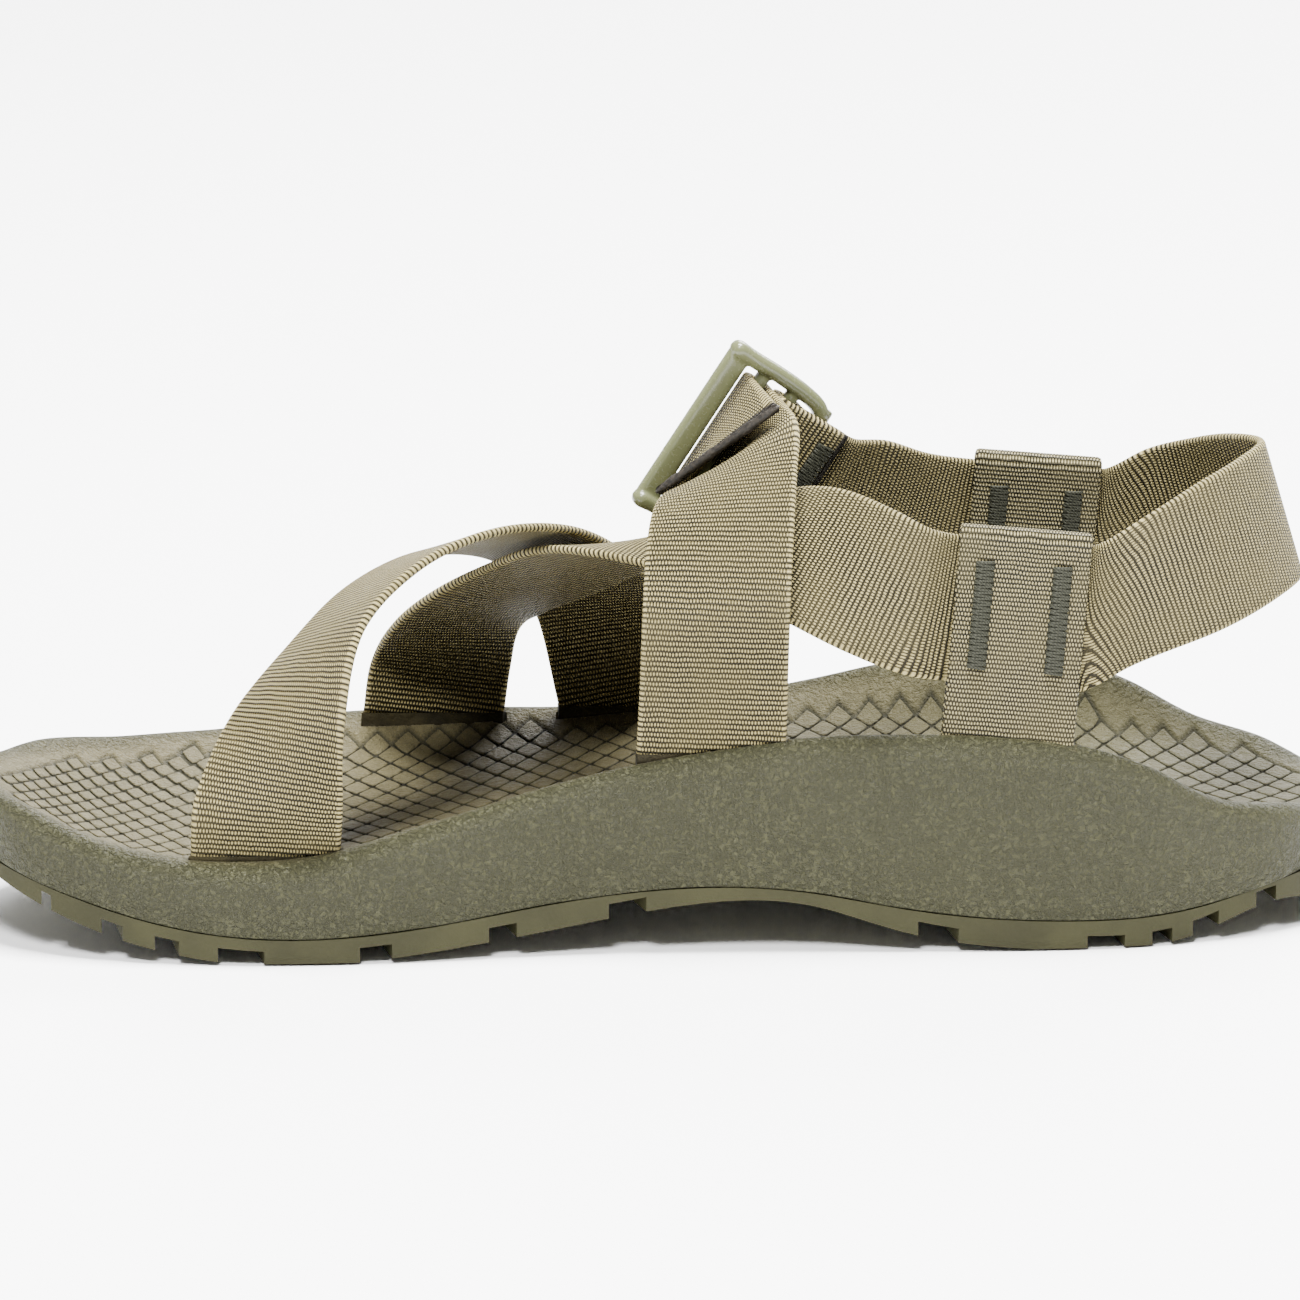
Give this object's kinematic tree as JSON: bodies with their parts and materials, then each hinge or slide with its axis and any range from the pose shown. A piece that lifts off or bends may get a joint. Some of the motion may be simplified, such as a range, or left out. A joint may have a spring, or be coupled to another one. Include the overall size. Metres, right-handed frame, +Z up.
{
  "type": "sport sandal",
  "caption": "Right-foot sport sandal: cushioned footbed on a lugged rubber sole, one webbing strap crossing the toes and instep, held by heel risers and a ladder-lock buckle.",
  "frame": {"origin": "middle of the bounding box, on the ground under the sole", "axes": "+X from the toe to the heel, +Y from the arch side to the outer side, +Z up"},
  "size_m": [0.288, 0.1032, 0.1149],
  "materials": {
    "midsole_foam": "fine leathery grain",
    "outsole_rubber": "moulded satin rubber",
    "webbing": "close woven polyester",
    "riser_webbing": "coarse woven polyester",
    "bartack_thread": "zigzag stitching",
    "buckle_plastic": "gloss moulded"
  },
  "bodies": {
    "sole": {"midsole": "midsole_foam", "outsole": "outsole_rubber", "toe_strap": "webbing", "cross_strap": "webbing", "instep_strap": "webbing", "underfoot_front_run": "webbing", "underfoot_rear_run": "webbing", "lateral_ankle_strap": "webbing", "medial_riser": "riser_webbing", "lateral_riser": "riser_webbing", "medial_riser_bartacks": "bartack_thread", "lateral_riser_bartacks": "bartack_thread"},
    "buckle": {"buckle_frame": "buckle_plastic", "buckle_wrap": "webbing", "buckle_anchor_loop": "webbing", "anchor_bartack": "bartack_thread", "strap_tail": "webbing"},
    "heel_loop": {"heel_strap": "webbing"}
  },
  "joints": [
    {"name": "buckle_tilt", "type": "hinge", "parent": "sole", "child": "buckle", "pos_m": [0.02985, 0.01177, 0.08087], "axis": [-0.5462, -0.062, -0.8353], "range_deg": [0, 30]},
    {"name": "heel_strap_fold", "type": "hinge", "parent": "sole", "child": "heel_loop", "pos_m": [0.08626, -0.001, 0.05219], "axis": [0.0889, 0.996, -0.0021], "range_deg": [0, 20], "stiffness_Nm_per_rad": 0.3}
  ]
}
